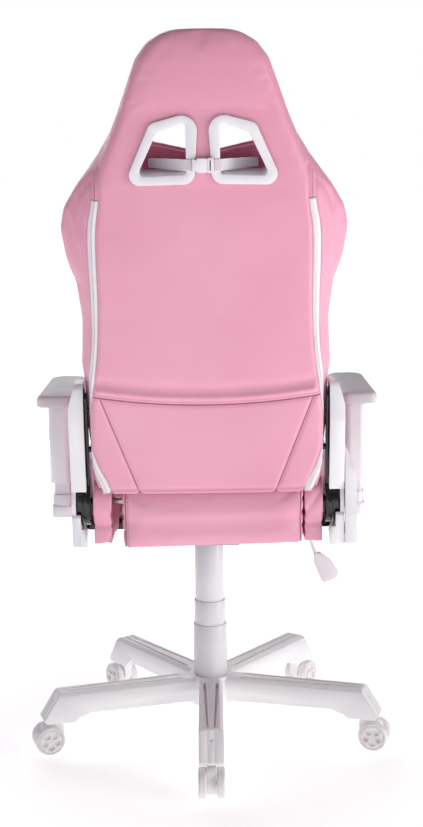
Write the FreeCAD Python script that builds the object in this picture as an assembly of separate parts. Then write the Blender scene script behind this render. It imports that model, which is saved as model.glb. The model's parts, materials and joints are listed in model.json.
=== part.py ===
"""Gaming chair: swivel base on casters, gas lift, tilting seat, reclining back and adjustable arms.

Frame: millimetres, +Z up, origin on the floor under the swivel axis.  The chair faces -Y, so the
sitter's right hand is at -X and the left hand at +X.
"""
import FreeCAD, Part
import math
import os

V = FreeCAD.Vector

# ---------------------------------------------------------------- clearances
GAP = 0.3            # between neighbours that only lie beside each other
RUN = 0.05           # radial running clearance of a shaft in its bore
SLEEVE_GAP = 0.4     # radial gap between telescoping covers

# ---------------------------------------------------------------- base and casters
LEG_COUNT = 5
STEM_CIRCLE_R = 300.0
LEG_WIDTH = 43.0
KEEL_WIDTH = 30.0
LEG_TOP_Z = 134.5
LEG_FOOT_Z = 78.5
SLOT_HUB_X = 12.0      # middle of a leg groove beside the hub, and at the outer end
SLOT_END_X = 6.0
SLOT_END_Y = 286.0
HUB_R = 40.0
HUB_TOP_Z = 135.0
HUB_BOTTOM_Z = 80.0

WHEEL_R = 27.0
WHEEL_CLEAR = 5.0    # under the leg's foot
WHEEL_WIDTH = 14.0
CASTER_WEB = 16.4    # thickness of the hood between the two wheels
CASTER_TRAIL = 15.0
AXLE_R = 4.0
STEM_R = 5.5
STEM_DEPTH = 42.0
HOOD_TOP_Z = LEG_FOOT_Z - 4.5
FLOOR_Z = LEG_FOOT_Z - WHEEL_CLEAR - 2 * WHEEL_R
AXLE_Z = FLOOR_Z + WHEEL_R

# ---------------------------------------------------------------- gas lift and covers
TUBE_R = 25.0
TUBE_WALL = 2.0
TUBE_BOTTOM_Z = 78.0
TUBE_TOP_Z = 272.0
BUSH_LENGTH = 40.0
CYL_R = 14.0
CYL_BORE_R = 11.0
LIFT_TRAVEL = 80.0
CYL_BOTTOM_Z = TUBE_BOTTOM_Z + LIFT_TRAVEL + 22
ROD_R = 5.0
COVER_WALL = 1.6
COVER_LOWER_TOP_Z = 233.0
COVER_MIDDLE_TOP_Z = 279.0
COVER_UPPER_TOP_Z = 390.0
COVER_OVERLAP = 10.0

# ---------------------------------------------------------------- mechanism under the seat
MECH_HALF = 55.0
MECH_BOTTOM_Z = 398.0
SOCKET_TOP_Z = 432.0
TILT_Y = -70.0
TILT_Z = 428.0
TILT_PIN_R = 6.0
PLATE_THICK = 6.0
KNOB_R = 24.0
KNOB_Y = -85.0
LEVER_Y = 20.0
LEVER_Z = 411.0
LEVER_HINGE_X = 63.0
LEVER_ROD_R = 4.0

# ---------------------------------------------------------------- seat
FRAME_Z = 456.0      # underside of the seat frame
RAIL = 20.0          # height of the frame tubes
RAIL_WIDTH = 25.0
WEBBING = 2.0
FRAME_HALF = 190.0
FRAME_FRONT_Y = -200.0
FRAME_REAR_Y = 176.0
SEAT_FRONT_Y = -262.0
SEAT_REAR_Y = 186.0
SEAT_TOP_Z = 518.0
PANEL_HALF = 150.0   # half width of the centre panel between the bolsters
SKIRT_Z = 458.0

# ---------------------------------------------------------------- recliner and back
PIVOT_Y = 235.0
PIVOT_Z = 520.0
BACK_ANGLE = 9.2     # lean of the back at rest, degrees from upright
SHAFT_R = 6.0
ROLL_R = 46.0        # rear roll of the seat, round the recliner axis
ROLL_BOTTOM_Z = 442.0
BACK_KNUCKLE_R = 48.0
BACK_BOTTOM_V = 22.0
BACK_REAR_W = 45.0
ARM_IN = 198.0       # inner face of the back's recliner plate
PLATE = 5.0
DRUM_R = 36.0
DISC_R = 40.0
COVER_OUT = 228.0    # outer face of the side covers
COVER_WALL_IN = 221.5   # inner face of the round wall over the recliner drum
SHELL_IN = 240.0     # lever side: inner and outer face of the outer shell
SHELL_OUT = 250.0
LEVER_IN = 230.5
LEVER_THICK = 8.0

# half sections of the back, from the seat up:
# height, widest half width and its depth, half width and depth of the rear face,
# half width and depth of the front panel, half width and depth of the wing's crest
BACK_SECTIONS = [
    (BACK_BOTTOM_V, 187, -2, 178, 44, 120, -28, 165, -52),
    (80, 194, -5, 192, 45, 120, -30, 170, -74),
    (150, 195, -5, 193, 46, 120, -31, 174, -82),
    (212, 197, -5, 191, 46, 120, -32, 176, -86),
    (242, 201, -5, 188, 46, 120, -32, 176, -86),
    (320, 197, -5, 180, 46, 120, -33, 172, -88),
    (380, 205, -10, 180, 46, 120, -32, 180, -92),
    (420, 223, -18, 180, 46, 120, -30, 198, -99),
    (465, 234, -24, 180, 45, 120, -28, 211, -104),
    (500, 228, -22, 177, 45, 120, -26, 205, -102),
    (535, 206, -14, 169, 45, 120, -24, 182, -93),
    (570, 177, -8, 156, 45, 119, -23, 152, -80),
    (605, 155, -5, 143, 45, 118, -22, 135, -68),
    (650, 137, -3, 124, 44, 106, -21, 119, -58),
    (700, 119, 0, 106, 43, 84, -18, 101, -48),
    (735, 106, 4, 92, 41, 68, -15, 86, -40),
    (760, 87, 7, 72, 37, 48, -10, 66, -28),
    (774, 64, 10, 50, 31, 32, -3, 47, -14),
    (779, 46, 13, 34, 26, 20, 3, 32, -4),
]
# openings for a harness, one each side of the middle
HOLE_OUTER = [(7, 659, 24), (14, 545, 18), (125, 542.5, 17), (82, 639, 15)]
HOLE_INNER = [(26.5, 641, 6), (26.5, 560, 5), (104, 557, 7), (71.5, 624.5, 8)]
BACK_RAIL_IN = 147.0
BACK_RAIL_OUT = 170.0
BACK_RAIL_W0 = -6.0
BACK_RAIL_W1 = 16.0
TRIM_WALL = 3.0
TRIM_FLANGE = 2.7
TRIM_FRONT_W = -24.3

PILLOW_HALF = 110.0
PILLOW_LOW_V = 500.0
PILLOW_TOP_V = 605.0
PILLOW_THICK = 64.0
STRAP_WIDTH = 19.0
STRAP_THICK = 1.5
BUCKLE_V = 575.0
BUCKLE_HALF = 17.0

# ---------------------------------------------------------------- arms
POST_Y = -30.0
POST_IN = 252.0
POST_OUT = 294.0
SLEEVE_DEPTH = 56.0
SLEEVE_LOW_Z = 503.0
SLEEVE_TOP_Z = 652.0
TUBE_IN_X = 256.0
TUBE_OUT_X = 286.0
TUBE_DEPTH = 46.0
TUBE_END_Z = 613.0
COLLAR_TOP_Z = 480.0
COLLAR_LOW_Z = 438.0
PAD_X0 = 232.0
PAD_X1 = 305.0
PAD_Y0 = -190.0
PAD_Y1 = 98.0
PAD_Z0 = 658.3
PAD_Z1 = 682.0
PAD_TRAVEL = 25.0


# ---------------------------------------------------------------- building blocks
def box(x0, x1, y0, y1, z0, z1):
    low = V(min(x0, x1), min(y0, y1), min(z0, z1))
    return Part.makeBox(abs(x1 - x0), abs(y1 - y0), abs(z1 - z0), low)


def cyl(r, start, end):
    a = V(*start)
    d = V(*end) - a
    return Part.makeCylinder(r, d.Length, a, d)


def ring(r_out, r_in, z0, z1):
    return cyl(r_out, (0, 0, z0), (0, 0, z1)).cut(cyl(r_in, (0, 0, z0), (0, 0, z1)))


def rounded_wire(points, radius):
    """Closed wire of straight runs joined by arcs; a corner may state its own radius."""
    n = len(points)
    starts = []
    for i in range(n):
        p = points[i]
        q = points[i - 1]
        s = points[(i + 1) % n]
        r = p[3] if len(p) > 3 else radius
        p, q, s = V(*p[:3]), V(*q[:3]), V(*s[:3])
        a, b = (q - p), (s - p)
        la, lb = a.Length, b.Length
        a.normalize()
        b.normalize()
        half = a.getAngle(b) / 2.0
        run = min(r / math.tan(half), 0.45 * la, 0.45 * lb) if r > 0 else 0.0
        real = run * math.tan(half)
        mid = a + b
        if run < 1e-6 or mid.Length < 1e-6:
            starts.append((p, None, p))
            continue
        mid.normalize()
        centre = p + mid * (real / math.sin(half))
        starts.append((p + a * run, centre - mid * real, p + b * run))
    edges = []
    for i in range(n):
        enter, top, leave = starts[i]
        if top is not None:
            edges.append(Part.Arc(enter, top, leave).toShape())
        following = starts[(i + 1) % n][0]
        if (following - leave).Length > 1e-6:
            edges.append(Part.makeLine(leave, following))
    return Part.Wire(edges)


def side_plate(points, x0, x1, radius=0.0):
    """Extrude a (y, z) outline from x0 to x1."""
    outline = [(x0,) + tuple(p[:2]) + tuple(p[2:]) for p in points]
    return Part.Face(rounded_wire(outline, radius)).extrude(V(x1 - x0, 0, 0))


def front_plate(points, y0, y1, radius=0.0):
    """Extrude an (x, z) outline from y0 to y1."""
    outline = [(p[0], y0, p[1]) + tuple(p[2:]) for p in points]
    return Part.Face(rounded_wire(outline, radius)).extrude(V(0, y1 - y0, 0))


def plan_plate(points, z0, z1, radius=0.0):
    """Extrude an (x, y) outline from z0 to z1."""
    outline = [(p[0], p[1], z0) + tuple(p[2:]) for p in points]
    return Part.Face(rounded_wire(outline, radius)).extrude(V(0, 0, z1 - z0))


def loft(sections):
    wires = [Part.makePolygon([V(*p) for p in s] + [V(*s[0])]) for s in sections]
    return Part.makeLoft(wires, True, True)


def mirrored(shape):
    return shape.mirror(V(0, 0, 0), V(1, 0, 0))


def grown_box(b, by=GAP):
    return box(b[0] - by, b[1] + by, b[2] - by, b[3] + by, b[4] - by, b[5] + by)


def fuse_all(shapes):
    out = shapes[0]
    for s in shapes[1:]:
        out = out.fuse(s)
    return out.removeSplitter()


def lean(shape):
    """Turn a piece drawn upright about the recliner axis to the back's rest angle."""
    out = shape.copy()
    out.rotate(V(0, PIVOT_Y, PIVOT_Z), V(1, 0, 0), -BACK_ANGLE)
    return out


def spin(shape, angle):
    out = shape.copy()
    out.rotate(V(0, 0, 0), V(0, 0, 1), angle)
    return out


def rounded_plate(shape, radius, direction):
    """Round the edges of a plain block that run along one direction."""
    picked = []
    for e in shape.Edges:
        if len(e.Vertexes) != 2:
            continue
        d = e.Vertexes[1].Point - e.Vertexes[0].Point
        if d.Length > 0 and abs(abs(d.normalize().dot(V(*direction))) - 1.0) < 1e-6:
            picked.append(e)
    return shape.makeFillet(radius, picked)


# ---------------------------------------------------------------- base
def leg():
    """One leg pointing along +Y: wide upper channel over a narrower keel."""
    tip_top = STEM_CIRCLE_R - 6
    tip_end = STEM_CIRCLE_R + 26
    upper = [(20, LEG_TOP_Z), (tip_top, LEG_TOP_Z, 8), (tip_end, LEG_FOOT_Z + 6, 3),
             (tip_end - 6, LEG_FOOT_Z, 3), (STEM_CIRCLE_R - 31, LEG_FOOT_Z, 5),
             (STEM_CIRCLE_R - 58, 101.5, 6), (20, 111)]
    keel = [(20, 112), (STEM_CIRCLE_R - 58, 103), (STEM_CIRCLE_R - 31, LEG_FOOT_Z, 5),
            (STEM_CIRCLE_R - 64, 91, 12), (20, 87)]
    half = LEG_WIDTH / 2
    body = side_plate(upper, -half, half)
    edge = 6.0
    section = [(-half, 60), (half, 60), (half, LEG_TOP_Z - edge), (half - edge, LEG_TOP_Z),
               (edge - half, LEG_TOP_Z), (-half, LEG_TOP_Z - edge)]
    body = body.common(front_plate(section, 0, tip_end + 1))
    body = body.fuse(side_plate(keel, -KEEL_WIDTH / 2, KEEL_WIDTH / 2))
    slots = []
    for side in (-1, 1):
        groove = [(side * (SLOT_HUB_X - 3), 60), (side * (SLOT_HUB_X + 3), 60),
                  (side * (SLOT_END_X + 1.6), SLOT_END_Y), (side * (SLOT_END_X - 1.6), SLOT_END_Y)]
        slots.append(plan_plate(groove, LEG_TOP_Z - 9, LEG_TOP_Z + 1))
        line = side_plate([(tip_top + 1, LEG_TOP_Z - 3), (tip_top + 6, LEG_TOP_Z + 4),
                           (tip_end + 6, LEG_FOOT_Z + 8), (tip_end - 1, LEG_FOOT_Z + 6)],
                          side * SLOT_END_X - 0.7, side * SLOT_END_X + 0.7)
        slots.append(line)
    bore = cyl(STEM_R + RUN, (0, STEM_CIRCLE_R, 0), (0, STEM_CIRCLE_R, HOOD_TOP_Z + STEM_DEPTH + 2))
    return body.cut(slots + [bore])


def star_base():
    hub = cyl(HUB_R, (0, 0, HUB_BOTTOM_Z), (0, 0, HUB_TOP_Z))
    step = 360.0 / LEG_COUNT
    legs = [spin(leg(), -step * i) for i in range(LEG_COUNT)]
    solid = fuse_all([hub] + legs)
    return solid.cut(cyl(TUBE_R, (0, 0, HUB_BOTTOM_Z - 1), (0, 0, LEG_TOP_Z + 5)))


def gas_tube():
    tube = ring(TUBE_R, TUBE_R - TUBE_WALL, TUBE_BOTTOM_Z, TUBE_TOP_Z)
    floor = ring(TUBE_R, ROD_R + 1, TUBE_BOTTOM_Z, TUBE_BOTTOM_Z + 6)
    bush = ring(TUBE_R - TUBE_WALL, CYL_R + RUN, TUBE_TOP_Z - BUSH_LENGTH, TUBE_TOP_Z)
    return fuse_all([tube, floor, bush])


def cover_radius(level):
    """Outer radius of a telescoping cover; 0 is the innermost and moves with the seat."""
    inner = TUBE_R + SLEEVE_GAP + COVER_WALL
    return inner + level * (COVER_WALL + SLEEVE_GAP)


def cover_lower():
    r = cover_radius(2)
    wall = ring(r, r - COVER_WALL, HUB_TOP_Z, COVER_LOWER_TOP_Z)
    foot = ring(r, TUBE_R, HUB_TOP_Z, HUB_TOP_Z + 4)
    return fuse_all([wall, foot])


def cover_middle():
    r = cover_radius(1)
    return ring(r, r - COVER_WALL, COVER_LOWER_TOP_Z - COVER_OVERLAP, COVER_MIDDLE_TOP_Z)


def cover_upper():
    r = cover_radius(0)
    wall = ring(r, r - COVER_WALL, COVER_MIDDLE_TOP_Z - COVER_OVERLAP, COVER_UPPER_TOP_Z)
    lid = ring(r, CYL_R, COVER_UPPER_TOP_Z - 4, COVER_UPPER_TOP_Z)
    return fuse_all([wall, lid])


def thrust_bearing():
    low = TUBE_BOTTOM_Z + 6
    return ring(CYL_R, ROD_R, low, low + 8)


def piston_rod():
    rod = cyl(ROD_R, (0, 0, TUBE_BOTTOM_Z + 2), (0, 0, 285))
    collar = cyl(ROD_R + 3, (0, 0, TUBE_BOTTOM_Z + 14), (0, 0, TUBE_BOTTOM_Z + 18))
    piston = cyl(CYL_BORE_R - RUN, (0, 0, 280), (0, 0, 292))
    return fuse_all([rod, collar, piston])


def gas_cylinder():
    top = SOCKET_TOP_Z
    body = cyl(CYL_R, (0, 0, CYL_BOTTOM_Z), (0, 0, MECH_BOTTOM_Z))
    taper = Part.makeCone(CYL_R, CYL_R - 1, top - MECH_BOTTOM_Z, V(0, 0, MECH_BOTTOM_Z))
    pin = cyl(3, (0, 0, top), (0, 0, top + 6))
    bore = cyl(CYL_BORE_R, (0, 0, CYL_BOTTOM_Z + 10), (0, 0, top - 20))
    gland = cyl(ROD_R + RUN, (0, 0, CYL_BOTTOM_Z - 1), (0, 0, CYL_BOTTOM_Z + 11))
    return fuse_all([body, taper, pin]).cut([bore, gland])


# ---------------------------------------------------------------- casters
def caster_hood():
    """Web of a twin wheel caster, with its stem on the stem circle and its axle further out."""
    y = STEM_CIRCLE_R
    axle_y = y + CASTER_TRAIL
    web_half = CASTER_WEB / 2
    web = cyl(WHEEL_R - 7, (-web_half, axle_y, AXLE_Z), (web_half, axle_y, AXLE_Z))
    crown = side_plate([(y - 12, AXLE_Z, 4), (axle_y, AXLE_Z - 4), (axle_y + 19, AXLE_Z, 4),
                        (axle_y + 12, HOOD_TOP_Z, 8), (y - 12, HOOD_TOP_Z, 5)], -web_half, web_half)
    collar = cyl(STEM_R + 3, (0, y, HOOD_TOP_Z - 4), (0, y, LEG_FOOT_Z - GAP))
    stem = cyl(STEM_R, (0, y, HOOD_TOP_Z - 12), (0, y, HOOD_TOP_Z + STEM_DEPTH))
    solid = fuse_all([web, crown, collar, stem])
    return solid.cut(cyl(AXLE_R + RUN, (-30, axle_y, AXLE_Z), (30, axle_y, AXLE_Z)))


def caster_wheels():
    """Both wheels and the axle that carries them, with a ring and five pockets in each face."""
    axle_y = STEM_CIRCLE_R + CASTER_TRAIL
    start = CASTER_WEB / 2 + 0.4
    end = start + WHEEL_WIDTH
    rim = WHEEL_R - 6
    solid = cyl(AXLE_R, (-end + 4, axle_y, AXLE_Z), (end - 4, axle_y, AXLE_Z))
    pockets = []
    for side in (-1, 1):
        x0 = side * start
        x1 = side * end
        wheel = cyl(WHEEL_R, (x0, axle_y, AXLE_Z), (x1, axle_y, AXLE_Z))
        rims = [e for e in wheel.Edges if e.Length > 2 * WHEEL_R]
        solid = solid.fuse(wheel.makeFillet(3.5, rims))
        low = x1 - side * 1.6
        high = x1 + side
        ring_cut = cyl(rim + 1.5, (low, axle_y, AXLE_Z), (high, axle_y, AXLE_Z))
        pockets.append(ring_cut.cut(cyl(rim, (low - side, axle_y, AXLE_Z), (high + side, axle_y, AXLE_Z))))
        for i in range(5):
            a = math.radians(72.0 * i + 36.0)
            y = axle_y + 0.56 * rim * math.sin(a)
            z = AXLE_Z + 0.56 * rim * math.cos(a)
            pockets.append(cyl(0.26 * rim, (x1 - side * 3, y, z), (high, y, z)))
    return solid.cut(pockets)


# ---------------------------------------------------------------- mechanism
def tilt_drop(y, margin=3.0, angle=12.0):
    """Highest z at a given y that the tilting seat plate still clears."""
    return FRAME_Z - PLATE_THICK - math.tan(math.radians(angle)) * (y - TILT_Y) - margin


def mech_housing():
    low = MECH_BOTTOM_Z + 2
    nose = 88
    profile = [(-108, low + 4, 4), (-108, TILT_Z + 10, 4), (TILT_Y + 15, TILT_Z + 10),
               (nose, tilt_drop(nose), 3), (nose, low + 3, 3), (48, low), (-48, low)]
    shell = side_plate(profile, -MECH_HALF, MECH_HALF)
    pocket_top = TILT_Z + 20
    pockets = [box(-MECH_HALF + 5, MECH_HALF - 5, -60, -38, low + 5, pocket_top),
               box(-MECH_HALF + 5, MECH_HALF - 5, 46, nose - 5, low + 5, pocket_top),
               box(-MECH_HALF - 1, -36, LEVER_Y - 12, LEVER_Y + 12, LEVER_Z - 9, LEVER_Z + 9)]
    boss = cyl(34, (0, 0, MECH_BOTTOM_Z), (0, 0, low + 6))
    ears = []
    for side in (-1, 1):
        inner = LEVER_Y + side * 10.3
        outer = LEVER_Y + side * 15
        ears.append(box(-LEVER_HINGE_X - 8, -MECH_HALF + 1, inner, outer, LEVER_Z - 11, LEVER_Z + 11))
    solid = fuse_all([shell, boss] + ears).cut(pockets)
    socket = Part.makeCone(CYL_R, CYL_R - 1, SOCKET_TOP_Z - MECH_BOTTOM_Z, V(0, 0, MECH_BOTTOM_Z))
    chimney = cyl(8, (0, 0, SOCKET_TOP_Z - 1), (0, 0, SOCKET_TOP_Z + 20))
    pin_bore = cyl(TILT_PIN_R, (-80, TILT_Y, TILT_Z), (80, TILT_Y, TILT_Z))
    knob_bore = cyl(5 + RUN, (0, KNOB_Y, MECH_BOTTOM_Z - 1), (0, KNOB_Y, MECH_BOTTOM_Z + 24))
    trunnions = cyl(3 + RUN, (-LEVER_HINGE_X, LEVER_Y - 20, LEVER_Z),
                    (-LEVER_HINGE_X, LEVER_Y + 20, LEVER_Z))
    return solid.cut([socket, chimney, pin_bore, knob_bore, trunnions])


def tilt_pin():
    half = MECH_HALF + 12
    shank = cyl(TILT_PIN_R, (-half, TILT_Y, TILT_Z), (half, TILT_Y, TILT_Z))
    heads = [cyl(9, (s * half, TILT_Y, TILT_Z), (s * (half + 3), TILT_Y, TILT_Z)) for s in (-1, 1)]
    return fuse_all([shank] + heads)


def seat_plate():
    """Plate bolted under the seat frame, hanging on the tilt pin by two lugs."""
    top = FRAME_Z
    plate = plan_plate([(-110, -125), (110, -125), (110, 110), (-110, 110)],
                       top - PLATE_THICK, top, 14)
    lug_outline = [(TILT_Y - 30, top - 2), (TILT_Y - 12, TILT_Z - 10, 9),
                   (TILT_Y + 12, TILT_Z - 10, 9), (TILT_Y + 30, top - 2)]
    parts = [plate]
    for side in (-1, 1):
        parts.append(side_plate(lug_outline, side * (MECH_HALF + 3), side * (MECH_HALF + 9)))
    bore = cyl(TILT_PIN_R + RUN, (-80, TILT_Y, TILT_Z), (80, TILT_Y, TILT_Z))
    valve_hole = cyl(14, (0, 0, top - PLATE_THICK - 1), (0, 0, top + 1))
    return fuse_all(parts).cut([bore, valve_hole])


def tension_knob():
    top = MECH_BOTTOM_Z - 3
    body = cyl(KNOB_R, (0, KNOB_Y, top - 30), (0, KNOB_Y, top))
    body = body.makeFillet(3.0, [e for e in body.Edges if e.Length > 2 * KNOB_R])
    grips = []
    for i in range(8):
        a = math.radians(45.0 * i)
        x = (KNOB_R + 3) * math.cos(a)
        y = KNOB_Y + (KNOB_R + 3) * math.sin(a)
        grips.append(cyl(5.5, (x, y, top - 31), (x, y, top + 1)))
    shank = cyl(5, (0, KNOB_Y, top), (0, KNOB_Y, MECH_BOTTOM_Z + 22))
    return fuse_all([body.cut(grips), shank])


def lever_bush():
    block = box(-LEVER_HINGE_X - 6, -MECH_HALF - 1.5, LEVER_Y - 9.7, LEVER_Y + 9.7,
                LEVER_Z - 8, LEVER_Z + 8)
    trunnion = cyl(3, (-LEVER_HINGE_X, LEVER_Y - 14.5, LEVER_Z), (-LEVER_HINGE_X, LEVER_Y + 14.5, LEVER_Z))
    bore = cyl(LEVER_ROD_R + RUN, (-90, LEVER_Y, LEVER_Z), (-40, LEVER_Y, LEVER_Z))
    return fuse_all([block, trunnion]).cut(bore)


def lift_lever():
    bend = (-184, LEVER_Y, LEVER_Z)
    foot = (-203, LEVER_Y, 350)
    rod = cyl(LEVER_ROD_R, (-39, LEVER_Y, LEVER_Z), bend)
    knee = Part.makeSphere(LEVER_ROD_R, V(*bend))
    drop = cyl(LEVER_ROD_R, bend, foot)
    paddle = front_plate([(-194, 370, 4), (-206, 370, 6), (-226, 355), (-240, 334, 6),
                          (-236, 323, 4), (-210, 313, 6), (-194, 352, 8)],
                         LEVER_Y - 8, LEVER_Y + 8)
    return fuse_all([rod, knee, drop, paddle])


# ---------------------------------------------------------------- seat
def frame_boxes():
    """Tubes of the seat frame as plain ranges, reused to hollow the foam."""
    z0, z1 = FRAME_Z, FRAME_Z + RAIL
    inner = FRAME_HALF - RAIL_WIDTH
    out = []
    for side in (-1, 1):
        xs = sorted((side * inner, side * FRAME_HALF))
        out.append((xs[0], xs[1], FRAME_FRONT_Y, FRAME_REAR_Y, z0, z1))
        lug = sorted((side * (FRAME_HALF - 1), side * (ARM_IN + PLATE * 2 + GAP)))
        out.append((lug[0], lug[1], FRAME_REAR_Y - 28, FRAME_REAR_Y, z0, z1))
        stub = sorted((side * 60, side * 84))
        out.append((stub[0], stub[1], FRAME_REAR_Y - 1, PIVOT_Y - 15, z0, z1))
    for y in (FRAME_FRONT_Y, -112, 62, FRAME_REAR_Y - RAIL_WIDTH):
        out.append((-inner - 1, inner + 1, y, y + RAIL_WIDTH, z0, z1))
    return out


def frame_space():
    return [grown_box(b) for b in frame_boxes()]


def seat_frame():
    return fuse_all([box(*b) for b in frame_boxes()])


def seat_webbing():
    """Sprung mat laid over the frame tubes, under the foam of the centre panel."""
    half = PANEL_HALF - GAP
    low = FRAME_Z + RAIL
    return box(-half, half, FRAME_FRONT_Y + 2, FRAME_REAR_Y - 2, low, low + WEBBING)


def seat_cushion():
    front = SEAT_FRONT_Y
    low = FRAME_Z + RAIL + WEBBING + GAP
    profile = [(SEAT_REAR_Y, low, 2), (SEAT_REAR_Y, SEAT_TOP_Z - 4, 18), (60, SEAT_TOP_Z - 2, 200),
               (-120, SEAT_TOP_Z + 6, 200), (-215, SEAT_TOP_Z + 8, 60), (front, SEAT_TOP_Z - 16, 24),
               (front, SKIRT_Z, 10), (FRAME_FRONT_Y - 6, SKIRT_Z, 4), (FRAME_FRONT_Y - 6, low, 0)]
    half = PANEL_HALF - GAP / 2
    return side_plate(profile, -half, half).cut(frame_space())


def bolster_section(y, outer, crest_z, crest_x, top_z, low_z):
    inner = PANEL_HALF + GAP / 2
    return [(inner, y, low_z), (outer - 6, y, low_z), (outer, y, low_z + 8), (outer, y, crest_z - 26),
            (outer - 5, y, crest_z - 10), (crest_x + 8, y, crest_z), (crest_x - 10, y, crest_z - 2),
            (inner, y, top_z)]


def seat_bolster():
    """Foam side wing of the seat with the block that turns in below the back."""
    rows = [(SEAT_FRONT_Y + 4, 232, 520, 205, 506), (SEAT_FRONT_Y + 22, 246, 540, 214, 518),
            (-190, 250, 552, 216, SEAT_TOP_Z + 8), (-80, 249, 560, 214, SEAT_TOP_Z + 5),
            (40, 238, 560, 204, SEAT_TOP_Z), (110, 214, 552, 186, SEAT_TOP_Z - 2),
            (150, 197, 534, 180, SEAT_TOP_Z - 3), (SEAT_REAR_Y, 196, 517, 178, SEAT_TOP_Z - 6)]
    body = loft([bolster_section(y, o, c, cx, t, SKIRT_Z) for (y, o, c, cx, t) in rows])
    inner = PANEL_HALF + 8
    outer = ARM_IN - 2
    core = cyl(ROLL_R - 3, (inner, PIVOT_Y, PIVOT_Z), (outer, PIVOT_Y, PIVOT_Z))
    block = box(inner, outer, SEAT_REAR_Y - 1, PIVOT_Y + 32, ROLL_BOTTOM_Z + 6, PIVOT_Z - 12)
    core = core.common(box(inner, outer, SEAT_REAR_Y - 1, PIVOT_Y + 60, 400, PIVOT_Z + 60))
    solid = fuse_all([body, block, core])
    under = box(100, 260, SEAT_REAR_Y - 90, FRAME_REAR_Y + 4, 400, SKIRT_Z)
    shaft = cyl(SHAFT_R + 1, (100, PIVOT_Y, PIVOT_Z), (260, PIVOT_Y, PIVOT_Z))
    back = cyl(BACK_KNUCKLE_R + 12, (100, PIVOT_Y, PIVOT_Z), (260, PIVOT_Y, PIVOT_Z))
    keep = cyl(ROLL_R - 3, (100, PIVOT_Y, PIVOT_Z), (260, PIVOT_Y, PIVOT_Z))
    sweep = back.cut(keep).common(box(100, 260, 100, 330, PIVOT_Z - 4, PIVOT_Z + 80))
    return solid.cut(frame_space() + [under, shaft, sweep])


def seat_rear_roll():
    """Rolled tail of the seat between the two side blocks, round the recliner axis."""
    half = PANEL_HALF - GAP / 2
    core = cyl(ROLL_R, (-half, PIVOT_Y, PIVOT_Z), (half, PIVOT_Y, PIVOT_Z))
    tail = side_plate([(SEAT_REAR_Y + 2, PIVOT_Z), (SEAT_REAR_Y + 2, ROLL_BOTTOM_Z, 8),
                       (PIVOT_Y + 37, ROLL_BOTTOM_Z, 12), (PIVOT_Y + 37, 494, 6),
                       (PIVOT_Y + 20, PIVOT_Z)], -half, half)
    front = box(-half - 1, half + 1, 100, SEAT_REAR_Y + 1, 400, 600)
    solid = fuse_all([core, tail])
    shaft = cyl(SHAFT_R + 1, (-200, PIVOT_Y, PIVOT_Z), (200, PIVOT_Y, PIVOT_Z))
    return solid.cut(frame_space() + [front, shaft])


# ---------------------------------------------------------------- recliner
def pivot_cyl(r, x0, x1):
    return cyl(r, (x0, PIVOT_Y, PIVOT_Z), (x1, PIVOT_Y, PIVOT_Z))


def recliner_seat():
    """Plate and drum fixed to the seat frame."""
    x0 = ARM_IN + 2 * PLATE + GAP
    x1 = x0 + PLATE
    arm = side_plate([(FRAME_REAR_Y - 30, 450, 6), (FRAME_REAR_Y + 30, 450, 6), (PIVOT_Y + 22, 492, 8),
                      (PIVOT_Y, PIVOT_Z), (FRAME_REAR_Y - 30, 484, 8)], x0, x1)
    disc = pivot_cyl(DRUM_R + 2, x0, x1)
    drum = pivot_cyl(DRUM_R, x1 - 0.5, COVER_WALL_IN - GAP)
    return fuse_all([arm, disc, drum]).cut(pivot_cyl(SHAFT_R + RUN, x0 - 1, COVER_OUT + 1))


def recliner_back():
    """Plate turning with the back; two bolts reach the back frame through the foam."""
    disc = pivot_cyl(DISC_R, ARM_IN, ARM_IN + 2 * PLATE)
    arm = side_plate([(PIVOT_Y - 20, PIVOT_Z), (PIVOT_Y + 20, PIVOT_Z), (PIVOT_Y + 20, PIVOT_Z + 196, 10),
                      (PIVOT_Y - 20, PIVOT_Z + 196, 10)], ARM_IN, ARM_IN + PLATE)
    parts = [disc, arm]
    for v in (95, 165):
        z = PIVOT_Z + v
        parts.append(cyl(5, (BACK_RAIL_OUT, PIVOT_Y + 5, z), (ARM_IN + 1, PIVOT_Y + 5, z)))
    return lean(fuse_all(parts).cut(pivot_cyl(SHAFT_R + RUN, ARM_IN - 1, ARM_IN + 30)))


def recline_shaft():
    return pivot_cyl(SHAFT_R, -LEVER_IN - LEVER_THICK, COVER_OUT - 4)


def recline_lever():
    x0 = -LEVER_IN
    x1 = -LEVER_IN - LEVER_THICK
    blade = side_plate([(PIVOT_Y, PIVOT_Z - 14), (PIVOT_Y, PIVOT_Z + 14), (PIVOT_Y - 60, PIVOT_Z + 12),
                        (PIVOT_Y - 150, PIVOT_Z + 16, 12), (PIVOT_Y - 156, PIVOT_Z - 8, 10),
                        (PIVOT_Y - 60, PIVOT_Z - 10)], x0, x1)
    hub = pivot_cyl(16, x0, x1)
    return fuse_all([blade, hub]).cut(pivot_cyl(SHAFT_R, x0 + 1, x1 - 1))


def lower_cover_outline():
    return [(118, 452, 10), (PIVOT_Y + 38, 447, 6), (PIVOT_Y + 43, 500, 4), (PIVOT_Y + 10, PIVOT_Z + 10),
            (PIVOT_Y - 60, PIVOT_Z + 4, 20), (118, 476, 14)]


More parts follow.
